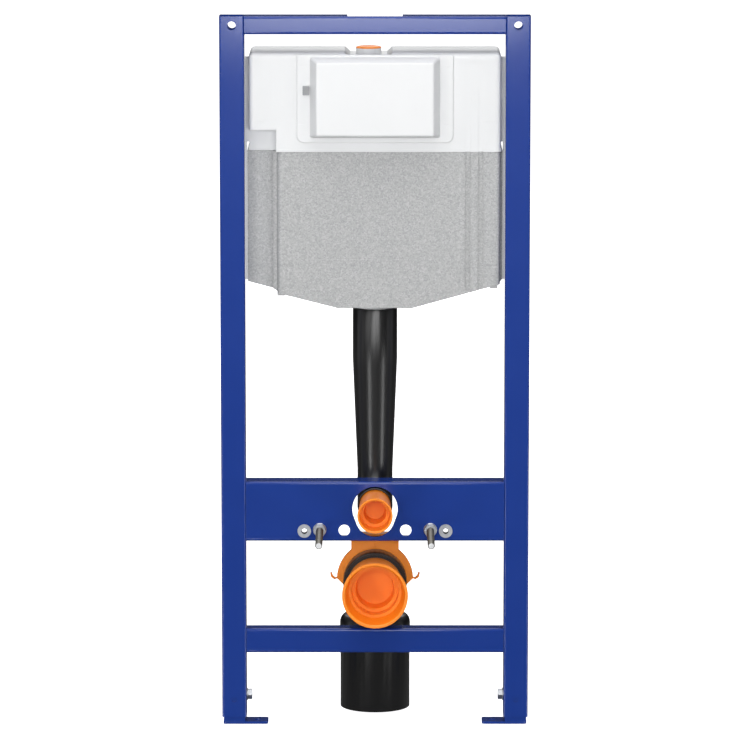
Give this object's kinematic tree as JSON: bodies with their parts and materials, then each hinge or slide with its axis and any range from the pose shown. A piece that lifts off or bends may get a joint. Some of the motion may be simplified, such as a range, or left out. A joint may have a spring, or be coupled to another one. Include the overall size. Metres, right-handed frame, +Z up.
{
  "type": "wall hung toilet frame",
  "caption": "Steel installation frame for a wall hung toilet, with concealed cistern, flush pipe, drain elbow and feet that adjust in height.",
  "frame": {"origin": "on the floor, midway between the two floor holes of the feet", "axes": "X along the wall, Y from the room into the wall, Z up"},
  "size_m": [0.5, 0.2859, 1.16],
  "materials": {
    "blue_steel": "satin powder coat",
    "zinc_steel": "bright zinc plating",
    "white_plastic": "moulded, satin",
    "grey_plastic": "moulded, matte",
    "grey_foam": "expanded foam beads, speckled",
    "orange_plastic": "moulded, satin",
    "black_plastic": "moulded, satin",
    "black_rubber": "smooth rubber"
  },
  "bodies": {
    "feet": {"left_foot": "blue_steel", "right_foot": "blue_steel"},
    "frame": {"bottom_rail": "blue_steel", "cistern_jacket": "grey_foam", "cistern_tank": "white_plastic", "drain_clamp": "orange_plastic", "drain_elbow": "black_plastic", "drain_plug": "orange_plastic", "drain_seal": "black_rubber", "flush_pipe": "black_plastic", "flush_plug": "orange_plastic", "inlet_plug": "orange_plastic", "left_bush": "zinc_steel", "left_foot_bolt": "zinc_steel", "left_post": "blue_steel", "left_stud": "zinc_steel", "left_stud_back_nut": "zinc_steel", "left_stud_nut": "zinc_steel", "mounting_plate": "blue_steel", "outlet_collar": "white_plastic", "right_bush": "zinc_steel", "right_foot_bolt": "zinc_steel", "right_post": "blue_steel", "right_stud": "zinc_steel", "right_stud_back_nut": "zinc_steel", "right_stud_nut": "zinc_steel", "service_box": "white_plastic", "service_latch": "grey_plastic", "top_rail": "blue_steel"}
  },
  "joints": [
    {"name": "height_adjust", "type": "slide", "parent": "feet", "child": "frame", "axis": [0, 0, 1], "range_m": [0, 0.2]}
  ]
}
